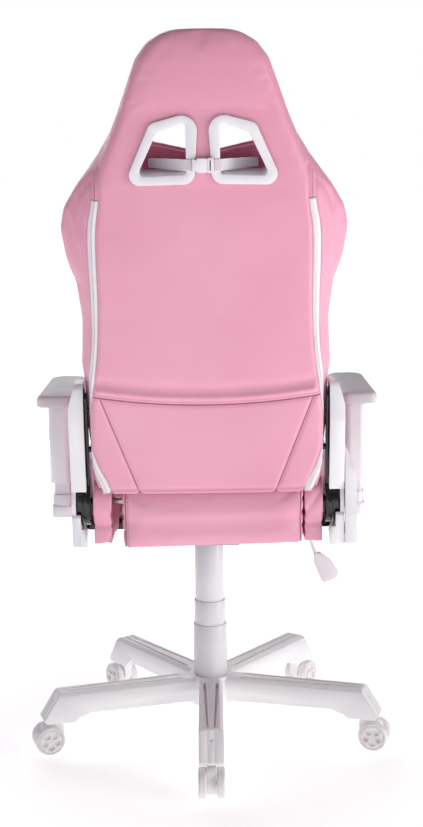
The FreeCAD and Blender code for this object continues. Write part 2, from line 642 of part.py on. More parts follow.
def cover_side_lower():
    """Side cover of the seat: outer wall, rear wall and floor round the recliner plate."""
    inner = ARM_IN + 5
    plate_out = ARM_IN + 3 * PLATE + 2 * GAP
    outer = side_plate(lower_cover_outline(), plate_out, COVER_OUT)
    rear = box(inner, plate_out + 1, PIVOT_Y + 33, PIVOT_Y + 41, 449, 480)
    wall = pivot_cyl(DISC_R + 1.5, COVER_WALL_IN, COVER_OUT)
    solid = fuse_all([outer, rear]).cut(pivot_cyl(DISC_R + 1.5, inner - 1, COVER_WALL_IN))
    return fuse_all([solid, wall]).cut(pivot_cyl(SHAFT_R + 1, COVER_WALL_IN - 1, COVER_OUT + 1))


def cover_side_lower_right():
    """Lever side: the same cover with a deeper shell over the recline lever."""
    base = mirrored(cover_side_lower())
    near = -COVER_OUT - 1.5
    side = side_plate([(PIVOT_Y - 45, 452, 12), (PIVOT_Y + 40, 447, 8), (PIVOT_Y + 45, 500, 20),
                       (PIVOT_Y + 43, PIVOT_Z + 58, 26), (PIVOT_Y + 34, PIVOT_Z + 99, 10),
                       (PIVOT_Y - 12, PIVOT_Z + 99, 20), (PIVOT_Y - 45, 500, 20)], near, -SHELL_OUT)
    front = front_plate([(near, 440), (near, PIVOT_Z + 98), (-236, PIVOT_Z + 84, 8), (-244, PIVOT_Z + 64, 8),
                         (-SHELL_OUT + 2, PIVOT_Z + 48, 8), (-SHELL_OUT, 440)], 100, 400)
    room = box(near + 1, -SHELL_IN - 1, PIVOT_Y - 60, PIVOT_Y + 34, 468, PIVOT_Z + 44)
    shell = side.common(front).cut(room)
    floor = box(-COVER_OUT + 1, near - 1, PIVOT_Y - 44, PIVOT_Y + 38, 452, 468)
    return fuse_all([base, shell, floor]).cut(pivot_cyl(SHAFT_R + 1, -COVER_OUT + 2, near))


def cover_side_upper():
    """Side cover over the back's recliner plate, tapering to the top."""
    inner = ARM_IN + PLATE
    outline = [(PIVOT_Y - 30, PIVOT_Z + 30), (PIVOT_Y + 36, PIVOT_Z + 30), (PIVOT_Y + 36, PIVOT_Z + 150, 30),
               (PIVOT_Y + 26, PIVOT_Z + 213, 12), (PIVOT_Y - 16, PIVOT_Z + 213, 12),
               (PIVOT_Y - 34, PIVOT_Z + 120, 30)]
    body = side_plate(outline, inner, COVER_OUT)
    pocket_outline = [(PIVOT_Y - 26, PIVOT_Z + 50), (PIVOT_Y + 31, PIVOT_Z + 50),
                      (PIVOT_Y + 31, PIVOT_Z + 148), (PIVOT_Y + 22, PIVOT_Z + 206),
                      (PIVOT_Y - 12, PIVOT_Z + 206), (PIVOT_Y - 28, PIVOT_Z + 120)]
    pocket = side_plate(pocket_outline, inner - 1, inner + 11)
    posts = [cyl(6, (inner, PIVOT_Y, PIVOT_Z + v), (inner + 12, PIVOT_Y, PIVOT_Z + v)) for v in (80, 180)]
    taper = box(COVER_OUT, COVER_OUT + 60, 100, 400, PIVOT_Z + 100, PIVOT_Z + 300)
    taper.rotate(V(COVER_OUT, 0, PIVOT_Z + 176), V(0, 1, 0), -16.0)
    knuckle = pivot_cyl(DISC_R + 3.5, inner - 1, COVER_OUT + 1)
    solid = fuse_all([body.cut(pocket)] + posts).cut([taper, knuckle])
    return lean(solid)


# ---------------------------------------------------------------- back
def back_frame_solid(grow=0.0):
    """Side tubes, the two that close in to the head, and three cross tubes; drawn upright."""
    y0 = PIVOT_Y + BACK_RAIL_W0 - grow
    y1 = PIVOT_Y + BACK_RAIL_W1 + grow
    g = grow
    rails = [[(BACK_RAIL_IN - g, 60 - g), (BACK_RAIL_OUT + g, 60 - g), (BACK_RAIL_OUT + g, 500 + g),
              (BACK_RAIL_IN - g, 500 + g)],
             [(BACK_RAIL_IN - g, 490), (BACK_RAIL_OUT - 2 + g, 490), (114 + g, 700 + g), (93 - g, 700 + g)]]
    parts = []
    for outline in rails:
        one = front_plate([(x, PIVOT_Z + v) for (x, v) in outline], y0, y1)
        parts += [one, mirrored(one)]
    for v, half in ((60, BACK_RAIL_IN + 1), (300, BACK_RAIL_IN + 1), (505, BACK_RAIL_IN - 2), (680, 100)):
        parts.append(box(-half, half, y0, y1, PIVOT_Z + v - g, PIVOT_Z + v + 20 + g))
    return fuse_all(parts)


def back_frame():
    return lean(back_frame_solid())


def back_section(row):
    v, xm, wm, xr, wr, xf, wf, xc, wc = row
    right = [(xf, wf), (xc - 12, wc + 4), (xc, wc), (xc + 9, wc + 6), (xm, wm), (xm - 3, wm + 18),
             (xr + 6, wr - 8), (xr - 4, wr), (xr * 0.5, wr + 2)]
    left = [(-x, w) for (x, w) in reversed(right)]
    return [(x, PIVOT_Y + w, PIVOT_Z + v) for (x, w) in right + left]


def hole_prism(outline, w0, w1, grow=0.0):
    cx = sum(p[0] for p in outline) / len(outline)
    cv = sum(p[1] for p in outline) / len(outline)
    pts = []
    for x, v, radius in outline:
        dx, dv = x - cx, v - cv
        k = 1.0 + grow / math.hypot(dx, dv)
        pts.append((cx + dx * k, PIVOT_Z + cv + dv * k, radius + grow / 2))
    return front_plate(pts, PIVOT_Y + w0, PIVOT_Y + w1)


def back_cushion():
    """Foam body of the back with its wings and head, one moulding."""
    body = loft([back_section(r) for r in BACK_SECTIONS])
    cuts = [pivot_cyl(BACK_KNUCKLE_R, -260, 260), back_frame_solid(GAP)]
    hole = hole_prism(HOLE_INNER, -140, 80, TRIM_WALL * 1.4 + 0.8)
    cuts += [hole, mirrored(hole)]
    for side in (-1, 1):
        for v in (95, 165):
            z = PIVOT_Z + v
            start = (side * (BACK_RAIL_OUT - 2), PIVOT_Y + 5, z)
            cuts.append(cyl(5 + GAP, start, (side * 210, PIVOT_Y + 5, z)))
    return lean(body.cut(cuts))


def hole_trim():
    """Plastic liner of one harness opening, flanged at the rear and the front."""
    rear = BACK_REAR_W + 2 + GAP
    front = TRIM_FRONT_W
    tube = hole_prism(HOLE_INNER, front, rear + 1, TRIM_WALL * 1.4)
    back_flange = hole_prism(HOLE_OUTER, rear, rear + TRIM_FLANGE)
    front_flange = hole_prism(HOLE_OUTER, front - TRIM_FLANGE, front)
    solid = fuse_all([tube, back_flange, front_flange])
    return lean(solid.cut(hole_prism(HOLE_INNER, -200, 100)))


def pillow_front_w():
    return TRIM_FRONT_W - TRIM_FLANGE - GAP - 2.2


def head_pillow():
    y1 = PIVOT_Y + pillow_front_w()
    y0 = y1 - PILLOW_THICK
    waist = 25
    outline = [(-PILLOW_HALF, PILLOW_LOW_V + 2), (0, PILLOW_LOW_V + waist), (PILLOW_HALF, PILLOW_LOW_V + 2),
               (PILLOW_HALF, PILLOW_TOP_V), (0, PILLOW_TOP_V - waist), (-PILLOW_HALF, PILLOW_TOP_V)]
    body = front_plate([(x, PIVOT_Z + v, 28 if x else 60) for (x, v) in outline], y0, y1)
    side = plan_plate([(-PILLOW_HALF - 1, y1, 24), (PILLOW_HALF + 1, y1, 24), (PILLOW_HALF + 1, y0, 30),
                       (0, y0 - 4, 200), (-PILLOW_HALF - 1, y0, 30)], PIVOT_Z + 400, PIVOT_Z + 700)
    return lean(body.common(side))


def strap():
    """Webbing from the buckle over the trim, then slanting through the opening to the pillow."""
    w0 = strap_w()
    half = STRAP_WIDTH / 2
    edge_x = 27.5
    end_x = 87.0
    end_v = BUCKLE_V - 7.5
    thick = STRAP_THICK
    start = BUCKLE_HALF + GAP
    flat = front_plate([(start, PIVOT_Z + BUCKLE_V + half), (start, PIVOT_Z + BUCKLE_V - half),
                        (edge_x, PIVOT_Z + BUCKLE_V - half), (edge_x, PIVOT_Z + BUCKLE_V + half)],
                       PIVOT_Y + w0, PIVOT_Y + w0 + thick)
    rows = []
    for x, w, v, h in ((edge_x - 0.5, w0, BUCKLE_V, half), (end_x, pillow_front_w(), end_v, half - 2)):
        rows.append([(x, PIVOT_Y + w, PIVOT_Z + v - h), (x + thick, PIVOT_Y + w + thick, PIVOT_Z + v - h),
                     (x + thick, PIVOT_Y + w + thick, PIVOT_Z + v + h), (x, PIVOT_Y + w, PIVOT_Z + v + h)])
    wires = [Part.makePolygon([V(*q) for q in row + row[:1]]) for row in rows]
    return lean(fuse_all([flat, Part.makeLoft(wires, True, True)]))


def strap_w():
    return BACK_REAR_W + 2 + GAP + TRIM_FLANGE + GAP


def buckle_socket():
    y0 = PIVOT_Y + strap_w()
    z = PIVOT_Z + BUCKLE_V
    body = front_plate([(-6, z - 11, 2), (9, z - 11, 2), (11, z - 8, 2), (BUCKLE_HALF, z - 11.5, 2),
                        (BUCKLE_HALF, z + 11.5, 2), (11, z + 8, 2), (9, z + 11, 2), (-6, z + 11, 2)],
                       y0, y0 + 9)
    mouth = box(-7, 6, y0 + 2.5, y0 + 6.5, z - 8.4, z + 8.4)
    return lean(body.cut(mouth))


def buckle_tongue():
    y0 = PIVOT_Y + strap_w()
    z = PIVOT_Z + BUCKLE_V
    frame = front_plate([(-BUCKLE_HALF, z - 11.5, 3), (-6.4, z - 11.5, 2), (-6.4, z + 11.5, 2),
                         (-BUCKLE_HALF, z + 11.5, 3)], y0, y0 + 8)
    slot = box(-12, -10, y0 - 1, y0 + 10, z - 8, z + 8)
    prongs = [box(-8, 4, y0 + 3, y0 + 6, z + v - 1.8, z + v + 1.8) for v in (-6, 0, 6)]
    return lean(fuse_all([frame.cut(slot)] + prongs))


# ---------------------------------------------------------------- arms
def post_box(x0, x1, depth, z0, z1, r=4.0):
    block = box(x0, x1, POST_Y - depth / 2, POST_Y + depth / 2, z0, z1)
    return rounded_plate(block, r, (0, 0, 1))


def arm_bracket():
    """Steel foot bolted under the seat frame with the arm's fixed tube and its collar."""
    foot = box(FRAME_HALF - 38, TUBE_OUT_X - 2, POST_Y - 28, POST_Y + 28, FRAME_Z - 8, FRAME_Z)
    tube = post_box(TUBE_IN_X, TUBE_OUT_X, TUBE_DEPTH, FRAME_Z - 6, TUBE_END_Z)
    collar_mid = (COLLAR_LOW_Z + COLLAR_TOP_Z) / 2
    lower = post_box(POST_IN - 2, POST_OUT - 2, SLEEVE_DEPTH + 4, COLLAR_LOW_Z, collar_mid, 14)
    upper = post_box(POST_IN + 1, POST_OUT - 4, SLEEVE_DEPTH, collar_mid, COLLAR_TOP_Z, 14)
    return fuse_all([foot, tube, lower, upper])


def arm_sleeve():
    outer = post_box(POST_IN, POST_OUT, SLEEVE_DEPTH, SLEEVE_LOW_Z, SLEEVE_TOP_Z, 14)
    cavity = box(TUBE_IN_X - GAP, TUBE_OUT_X + GAP, POST_Y - TUBE_DEPTH / 2 - GAP,
                 POST_Y + TUBE_DEPTH / 2 + GAP, SLEEVE_LOW_Z - 1, SLEEVE_TOP_Z - 16)
    window = box(TUBE_OUT_X, POST_OUT + 5, POST_Y - 7.1, POST_Y + 7.1, 578.9, 605.1)
    mid = (POST_IN + POST_OUT) / 2
    bore = cyl(8 + RUN, (mid, POST_Y, SLEEVE_TOP_Z - 20), (mid, POST_Y, SLEEVE_TOP_Z + 5))
    return outer.cut([cavity, window, bore])


def arm_button():
    block = box(POST_OUT - 4.2, POST_OUT + 2, POST_Y - 7, POST_Y + 7, 579, 605)
    return rounded_plate(block, 1.5, (0, 0, 1))


def arm_plate():
    """Turntable under the pad: stud into the sleeve and a tee rail into the pad."""
    mid = (POST_IN + POST_OUT) / 2
    z0 = SLEEVE_TOP_Z + GAP
    z1 = PAD_Z0 - GAP
    stud = cyl(8, (mid, POST_Y, z0 - 12), (mid, POST_Y, z0 + 1))
    disc = cyl(27, (mid, POST_Y, z0), (mid, POST_Y, z1))
    neck = box(mid - 8, mid + 8, POST_Y - 40, POST_Y + 40, z1 - 1, z1 + 5)
    head = box(mid - 14, mid + 14, POST_Y - 40, POST_Y + 40, z1 + 4, z1 + 8)
    wings = box(mid - 16, mid + 16, POST_Y - 40, POST_Y + 40, z0, z1)
    return fuse_all([stud, disc, neck, head, wings])


def arm_pad():
    mid = (POST_IN + POST_OUT) / 2
    outline = [(PAD_X0, PAD_Y0, 30), (PAD_X1, PAD_Y0, 34), (PAD_X1, PAD_Y1, 16), (PAD_X0 + 8, PAD_Y1, 16),
               (PAD_X0, PAD_Y1 - 60, 60)]
    pad = plan_plate(outline, PAD_Z0, PAD_Z1)
    top_edges = [e for e in pad.Edges if min(v.Point.z for v in e.Vertexes) > PAD_Z1 - 0.01]
    pad = pad.makeFillet(9.0, top_edges)
    run = 40 + PAD_TRAVEL + 0.5
    z = PAD_Z0 - GAP
    neck = box(mid - 8 - GAP, mid + 8 + GAP, POST_Y - run, POST_Y + run, z - 1, z + 5)
    head = box(mid - 14 - GAP, mid + 14 + GAP, POST_Y - run, POST_Y + run, z + 4 - GAP, z + 8 + GAP)
    return pad.cut([neck, head])


# ---------------------------------------------------------------- write
def build():
    parts = {
        "star_base": star_base(),
        "gas_tube": gas_tube(),
        "cover_lower": cover_lower(),
        "cover_middle": cover_middle(),
        "cover_upper": cover_upper(),
        "thrust_bearing": thrust_bearing(),
        "piston_rod": piston_rod(),
        "gas_cylinder": gas_cylinder(),
        "mech_housing": mech_housing(),
        "tilt_pin": tilt_pin(),
        "tension_knob": tension_knob(),
        "lever_bush": lever_bush(),
        "lift_lever": lift_lever(),
        "seat_plate": seat_plate(),
        "seat_frame": seat_frame(),
        "seat_webbing": seat_webbing(),
        "seat_cushion": seat_cushion(),
        "seat_rear_roll": seat_rear_roll(),
        "recline_shaft": recline_shaft(),
        "recline_lever": recline_lever(),
        "cover_side_lower_right": cover_side_lower_right(),
        "cover_side_lower_left": cover_side_lower(),
        "back_frame": back_frame(),
        "back_cushion": back_cushion(),
        "head_pillow": head_pillow(),
        "buckle_socket": buckle_socket(),
        "buckle_tongue": buckle_tongue(),
    }
    hood = caster_hood()
    wheels = caster_wheels()
    for i in range(LEG_COUNT):
        angle = -360.0 / LEG_COUNT * i
        parts["caster_hood_%d" % (i + 1)] = spin(hood, angle)
        parts["caster_wheels_%d" % (i + 1)] = spin(wheels, angle)
    pairs = {
        "seat_bolster": seat_bolster(),
        "recliner_seat": recliner_seat(),
        "recliner_back": recliner_back(),
        "hole_trim": hole_trim(),
        "cover_side_upper": cover_side_upper(),
        "strap": strap(),
        "arm_bracket": arm_bracket(),
        "arm_sleeve": arm_sleeve(),
        "arm_button": arm_button(),
        "arm_plate": arm_plate(),
        "arm_pad": arm_pad(),
    }
    for name, shape in pairs.items():
        parts[name + "_left"] = shape
        parts[name + "_right"] = mirrored(shape)
    return parts


os.makedirs("parts", exist_ok=True)
for node, shape in sorted(build().items()):
    shape.translate(V(0, 0, -FLOOR_Z))
    shape.exportStep("parts/%s.step" % node)
    print(node, len(shape.Solids), shape.isValid(), round(shape.Volume / 1000.0, 1))
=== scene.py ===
import json
import math

import bpy
import numpy as np
from mathutils import Matrix, Vector


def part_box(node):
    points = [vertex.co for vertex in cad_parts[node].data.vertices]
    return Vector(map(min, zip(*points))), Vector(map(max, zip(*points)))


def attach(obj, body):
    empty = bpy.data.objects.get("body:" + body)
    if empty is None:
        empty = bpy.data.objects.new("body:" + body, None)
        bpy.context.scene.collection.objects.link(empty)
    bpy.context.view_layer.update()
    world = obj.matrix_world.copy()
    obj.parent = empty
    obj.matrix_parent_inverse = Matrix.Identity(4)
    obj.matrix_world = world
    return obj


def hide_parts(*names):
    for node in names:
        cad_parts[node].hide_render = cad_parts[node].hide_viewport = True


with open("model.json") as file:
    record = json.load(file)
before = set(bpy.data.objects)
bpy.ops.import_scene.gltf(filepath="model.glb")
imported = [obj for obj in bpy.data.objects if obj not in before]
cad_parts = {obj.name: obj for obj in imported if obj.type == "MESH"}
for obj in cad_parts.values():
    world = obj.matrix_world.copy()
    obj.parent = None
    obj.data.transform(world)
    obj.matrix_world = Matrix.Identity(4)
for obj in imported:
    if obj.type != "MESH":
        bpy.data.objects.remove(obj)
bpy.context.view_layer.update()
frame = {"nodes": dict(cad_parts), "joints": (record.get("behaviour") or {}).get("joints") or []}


# ---------------------------------------------------------------- star base
# Five hollow legs and a hub, moulded in one shot from white glass-filled nylon.
# The mould leaves a fine spark-eroded grain and soft edges, and feet scuff the leg tops.

def srgb(red, green, blue):
    """Screen colour, 0 to 255, as the linear colour that shaders take."""
    parts = []
    for c in (red, green, blue):
        c = c / 255.0
        parts.append(c / 12.92 if c <= 0.04045 else ((c + 0.055) / 1.055) ** 2.4)
    return tuple(parts) + (1.0,)


class Finish:
    """A node material in the making, addressed in the object's own metres."""

    def __init__(self, name):
        self.mat = bpy.data.materials.new(name)
        self.mat.use_nodes = True
        self.tree = self.mat.node_tree
        self.shader = self.tree.nodes["Principled BSDF"]
        self.place = self.add("ShaderNodeTexCoord").outputs["Object"]

    def add(self, kind, **settings):
        node = self.tree.nodes.new(kind)
        for key, value in settings.items():
            setattr(node, key, value)
        return node

    def join(self, source, target):
        self.tree.links.new(source, target)

    def maths(self, operation, a, b=0.0, clamp=False):
        node = self.add("ShaderNodeMath", operation=operation, use_clamp=clamp)
        for i, value in enumerate((a, b)):
            if hasattr(value, "is_output"):
                self.join(value, node.inputs[i])
            else:
                node.inputs[i].default_value = value
        return node.outputs[0]

    def stretch(self, sx, sy, sz):
        node = self.add("ShaderNodeMapping")
        node.inputs["Scale"].default_value = (sx, sy, sz)
        self.join(self.place, node.inputs["Vector"])
        return node.outputs[0]

    def noise(self, scale, detail=3.0, roughness=0.55, at=None):
        node = self.add("ShaderNodeTexNoise")
        node.inputs["Scale"].default_value = scale
        node.inputs["Detail"].default_value = detail
        node.inputs["Roughness"].default_value = roughness
        self.join(at or self.place, node.inputs["Vector"])
        return node.outputs["Fac"]

    def cells(self, scale, feature="F1", at=None):
        node = self.add("ShaderNodeTexVoronoi", feature=feature)
        node.inputs["Scale"].default_value = scale
        self.join(at or self.place, node.inputs["Vector"])
        return node.outputs["Distance"]

    def blend(self, amount, low, high):
        node = self.add("ShaderNodeMix", data_type="RGBA")
        self.join(amount, node.inputs["Factor"])
        for socket, value in ((node.inputs["A"], low), (node.inputs["B"], high)):
            if hasattr(value, "is_output"):
                self.join(value, socket)
            else:
                socket.default_value = value
        return node.outputs["Result"]

    def spread(self, value, low, high, to_low, to_high):
        node = self.add("ShaderNodeMapRange")
        self.join(value, node.inputs["Value"])
        for key, number in (("From Min", low), ("From Max", high), ("To Min", to_low), ("To Max", to_high)):
            node.inputs[key].default_value = number
        return node.outputs["Result"]

    def colour(self, source):
        self.join(source, self.shader.inputs["Base Color"])

    def rough(self, source):
        self.join(source, self.shader.inputs["Roughness"])

    def relief(self, height, depth, under=None):
        node = self.add("ShaderNodeBump")
        node.inputs["Strength"].default_value = 1.0
        node.inputs["Distance"].default_value = depth
        self.join(height, node.inputs["Height"])
        if under is not None:
            self.join(under, node.inputs["Normal"])
        self.join(node.outputs["Normal"], self.shader.inputs["Normal"])
        return node.outputs["Normal"]


def moulded_plastic(name, colour, shade, rough=0.36, grain=900.0, depth=0.00006):
    f = Finish(name)
    patches = f.spread(f.noise(9.0, 4.0), 0.35, 0.65, 0.0, 1.0)
    f.colour(f.blend(patches, colour, shade))
    smears = f.noise(38.0, 5.0, 0.6)
    f.rough(f.spread(smears, 0.3, 0.7, rough - 0.06, rough + 0.1))
    f.relief(f.noise(grain, 2.0), depth)
    f.shader.inputs["Specular IOR Level"].default_value = 0.5
    return f.mat


def dress(names, material, edge=0.0008):
    """Give CAD nodes their finish and a small broken edge."""
    for name in names:
        obj = frame["nodes"][name]
        obj.data.materials.clear()
        obj.data.materials.append(material)
        if edge:
            weld = obj.modifiers.new("weld", "WELD")
            weld.merge_threshold = 0.00002
            bevel = obj.modifiers.new("broken edge", "BEVEL")
            bevel.width = edge
            bevel.segments = 2
            bevel.limit_method = "ANGLE"
            bevel.angle_limit = math.radians(35)
            bevel.harden_normals = True
        for polygon in obj.data.polygons:
            polygon.use_smooth = True


white_nylon = moulded_plastic("white nylon", srgb(251, 250, 250), srgb(245, 244, 246), 0.42)
dress(["star_base"], white_nylon, 0.0012)


# ---------------------------------------------------------------- gas lift
# A black steel tube pressed into the hub holds a sliding gas cylinder, and three thin white
# telescoping covers hide both. The cylinder and its rod are ground bright.

def painted_steel(name, colour, shade, rough=0.32):
    f = Finish(name)
    f.colour(f.blend(f.noise(60.0, 4.0), colour, shade))
    f.rough(f.spread(f.noise(220.0, 3.0), 0.3, 0.7, rough - 0.05, rough + 0.12))
    f.relief(f.noise(1400.0, 2.0), 0.00004)
    f.shader.inputs["Metallic"].default_value = 0.0
    f.shader.inputs["Coat Weight"].default_value = 0.3
    f.shader.inputs["Coat Roughness"].default_value = 0.25
    return f.mat


def ground_steel(name):
    f = Finish(name)
    turned = f.noise(6.0, 6.0, 0.7, at=f.stretch(4.0, 4.0, 400.0))
    f.colour(f.blend(turned, srgb(196, 197, 202), srgb(172, 173, 180)))
    f.rough(f.spread(turned, 0.3, 0.7, 0.16, 0.34))
    f.relief(turned, 0.00002)
    f.shader.inputs["Metallic"].default_value = 1.0
    return f.mat


cover_plastic = moulded_plastic("cover plastic", srgb(234, 232, 237), srgb(226, 224, 230), 0.34)
black_steel = painted_steel("black painted steel", srgb(26, 24, 27), srgb(40, 38, 42))
bright_steel = ground_steel("ground steel")
dress(["cover_lower", "cover_middle", "cover_upper"], cover_plastic, 0.0005)
dress(["gas_tube"], black_steel, 0.0004)
dress(["gas_cylinder", "piston_rod", "thrust_bearing"], bright_steel, 0.0)


# ---------------------------------------------------------------- casters
# Twin nylon wheels, each with a ring groove and five pockets in its face, turn under a white hood.
# The treads are scuffed dull and carry a faint warm stain from the floor.

def worn_wheel(name):
    f = Finish(name)
    stain = f.spread(f.noise(70.0, 5.0, 0.65), 0.42, 0.7, 0.0, 1.0)
    f.colour(f.blend(stain, srgb(247, 244, 245), srgb(233, 227, 228)))
    f.rough(f.spread(f.noise(260.0, 4.0), 0.3, 0.7, 0.38, 0.62))
    f.relief(f.noise(800.0, 3.0), 0.00008)
    return f.mat


CASTERS = range(1, 6)
wheel_nylon = worn_wheel("wheel nylon")
dress(["caster_wheels_%d" % i for i in CASTERS], wheel_nylon, 0.0006)
dress(["caster_hood_%d" % i for i in CASTERS], white_nylon, 0.0008)


# ---------------------------------------------------------------- mechanism and lift lever
# A pressed steel housing on the cylinder's taper carries the seat plate on a cross pin.
# The tension knob is black plastic, and the lever ends in a flat white paddle.

black_plastic = moulded_plastic("black plastic", srgb(30, 29, 31), srgb(38, 37, 40), 0.45, 800.0, 0.0001)
dress(["mech_housing", "seat_plate"], black_steel, 0.001)
dress(["tilt_pin"], bright_steel, 0.0005)
dress(["tension_knob", "lever_bush"], black_plastic, 0.0008)
lever_plastic = moulded_plastic("lever plastic", srgb(246, 237, 242), srgb(238, 228, 234), 0.3)
dress(["lift_lever"], lever_plastic, 0.0015)


# ---------------------------------------------------------------- seat frame and mat
# Welded steel tube carries a woven elastic mat, and the foam rests on both.

def woven(name, colour, shade, pitch, depth):
    """Plain weave: two sets of threads crossing at a pitch in metres."""
    f = Finish(name)
    split = f.add("ShaderNodeSeparateXYZ")
    f.join(f.place, split.inputs[0])
    turn = 2.0 * math.pi / pitch
    warp = f.maths("SINE", f.maths("MULTIPLY", split.outputs["X"], turn))
    rise = f.maths("ADD", split.outputs["Z"], split.outputs["Y"])
    weft = f.maths("SINE", f.maths("MULTIPLY", rise, turn))
    cross = f.maths("MULTIPLY", warp, weft)
    height = f.spread(cross, -1.0, 1.0, 0.0, 1.0)
    # the low points of the weave take the darker colour: painted shade between the threads
    f.colour(f.blend(height, shade, colour))
    f.rough(f.spread(f.noise(500.0), 0.3, 0.7, 0.75, 0.95))
    f.relief(height, depth)
    f.shader.inputs["Sheen Weight"].default_value = 0.3
    f.shader.inputs["Sheen Roughness"].default_value = 0.5
    return f.mat


def mesh_piece(name, verts, faces, material):
    mesh = bpy.data.meshes.new(name)
    mesh.from_pydata(verts, [], faces)
    mesh.materials.append(material)
    for polygon in mesh.polygons:
        polygon.use_smooth = True
    obj = bpy.data.objects.new(name, mesh)
    bpy.context.scene.collection.objects.link(obj)
    return obj


STEPS = 8
BAND_HALF = 0.4
BAND_THIN = 2.4


def woven_bands(low, high, lengthways, crossways):
    """Flat bands laid both ways, each passing over and under the ones it crosses."""
    verts = []
    faces = []
    thick = (high.z - low.z) / BAND_THIN
    middle = (high.z + low.z) / 2
    wave = (high.z - low.z - thick) / 2
    spans = ((0, lengthways, crossways), (1, crossways, lengthways))
    for along, count, crossed in spans:
        pitch = (high[1 - along] - low[1 - along]) / count
        step = (high[along] - low[along]) / (crossed * STEPS)
        for band in range(count):
            centre = low[1 - along] + pitch * (band + 0.5)
            flip = 1.0 if (band + along) % 2 else -1.0
            rings = []
            for i in range(crossed * STEPS + 1):
                lift = wave * flip * math.cos(math.pi * (i / STEPS - 0.5))
                ring = []
                for dx, dz in ((-1, -0.5), (1, -0.5), (1, 0.5), (-1, 0.5)):
                    spot = [0.0, 0.0, middle + lift + dz * thick]
                    spot[along] = low[along] + step * i
                    spot[1 - along] = centre + dx * BAND_HALF * pitch
                    ring.append(len(verts))
                    verts.append(tuple(spot))
                rings.append(ring)
            for a, b in zip(rings, rings[1:]):
                for k in range(4):
                    faces.append((a[k], a[(k + 1) % 4], b[(k + 1) % 4], b[k]))
            faces.append(tuple(reversed(rings[0])))
            faces.append(tuple(rings[-1]))
    return verts, faces


elastic_band = woven("elastic band", srgb(70, 68, 72), srgb(38, 37, 40), 0.004, 0.0004)
dress(["seat_frame"], black_steel, 0.0015)
mat_low, mat_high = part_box("seat_webbing")
band_verts, band_faces = woven_bands(mat_low, mat_high, lengthways=7, crossways=6)
mat = mesh_piece("elastic_mat", band_verts, band_faces, elastic_band)
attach(mat, "seat")
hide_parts("seat_webbing")


# ---------------------------------------------------------------- seat cushions
# Cold-cured foam under soft pink synthetic leather: a centre pad, two side wings that turn in
# below the back, and a rolled tail round the recliner shaft. The panels meet in sewn seams.

def applied(obj):
    """Replace an object's mesh by what its modifiers make of it."""
    graph = bpy.context.evaluated_depsgraph_get()
    mesh = bpy.data.meshes.new_from_object(obj.evaluated_get(graph))
    obj.modifiers.clear()
    obj.data = mesh
    return obj


def points(obj):
    co = np.empty(len(obj.data.vertices) * 3)
    obj.data.vertices.foreach_get("co", co)
    return co.reshape(-1, 3)


def normals(obj):
    no = np.empty(len(obj.data.vertices) * 3)
    obj.data.vertices.foreach_get("normal", no)
    return no.reshape(-1, 3)


def move_to(obj, co):
    obj.data.vertices.foreach_set("co", co.reshape(-1))
    obj.data.update()


def foam_copy(name, sources, voxel=0.005, rounds=6, skin=0.0035):
    """One even closed mesh over CAD solids, rounded off and drawn in by the swelling to come."""
    copies = []
    for source in sources:
        copy = bpy.data.objects.new(name, frame["nodes"][source].data.copy())
        bpy.context.scene.collection.objects.link(copy)
        copies.append(copy)
    with bpy.context.temp_override(active_object=copies[0], selected_editable_objects=copies):
        if len(copies) > 1:
            bpy.ops.object.join()
    obj = copies[0]
    obj.name = name
    obj.data.materials.clear()
    remesh = obj.modifiers.new("even mesh", "REMESH")
    remesh.mode = "VOXEL"
    remesh.voxel_size = voxel
    soften = obj.modifiers.new("soften", "SMOOTH")
    soften.factor = 0.5
    soften.iterations = rounds
    applied(obj)
    move_to(obj, points(obj) - normals(obj) * skin)
    return obj


def swell(obj, held, cap, pressure=4.0, last=20):
    """Blow the foam up against its cover with the cloth solver; held points stay put."""
    group = obj.vertex_groups.new(name="held")
    group.add([int(i) for i in np.nonzero(held)[0]], 1.0, "REPLACE")
    before = points(obj)
    cloth = obj.modifiers.new("swell", "CLOTH")
    cloth.settings.quality = 4
    cloth.settings.mass = 0.3
    cloth.settings.tension_stiffness = 25.0
    cloth.settings.compression_stiffness = 25.0
    cloth.settings.shear_stiffness = 10.0
    cloth.settings.bending_stiffness = 2.0
    cloth.settings.use_pressure = True
    cloth.settings.uniform_pressure_force = pressure
    cloth.settings.effector_weights.gravity = 0.0
    cloth.settings.vertex_group_mass = "held"
    cloth.collision_settings.use_collision = False
    for step in range(1, last + 1):
        bpy.context.scene.frame_set(step)
    applied(obj)
    bpy.context.scene.frame_set(1)
    shift = points(obj) - before
    length = np.linalg.norm(shift, axis=1, keepdims=True)
    shift *= np.minimum(1.0, cap / np.maximum(length, 1e-9))
    move_to(obj, before + shift)
    obj.vertex_groups.clear()
    finer = obj.modifiers.new("finer", "SUBSURF")
    finer.levels = 1
    finer.render_levels = 1
    applied(obj)
    for polygon in obj.data.polygons:
        polygon.use_smooth = True
    return obj


def sew(obj, distance, depth, width):
    """Draw the cover in along seams; distance(points) is how far each point lies from one."""
    co = points(obj)
    pull = depth * np.exp(-(distance(co) / width) ** 2)
    move_to(obj, co - normals(obj) * pull[:, None])
    return obj


# the darker pink of the seam lines: painted shade in the seam grooves, and the stitch thread's colour
SEAM_SHADE_AND_THREAD_PINK = srgb(158, 88, 114)


def seam_line(f, offset, width=0.0007):
    """1 along a seam, 0 clear of it, from the distance to the seam."""
    return f.spread(f.maths("ABSOLUTE", offset), width * 0.5, width * 1.7, 1.0, 0.0)


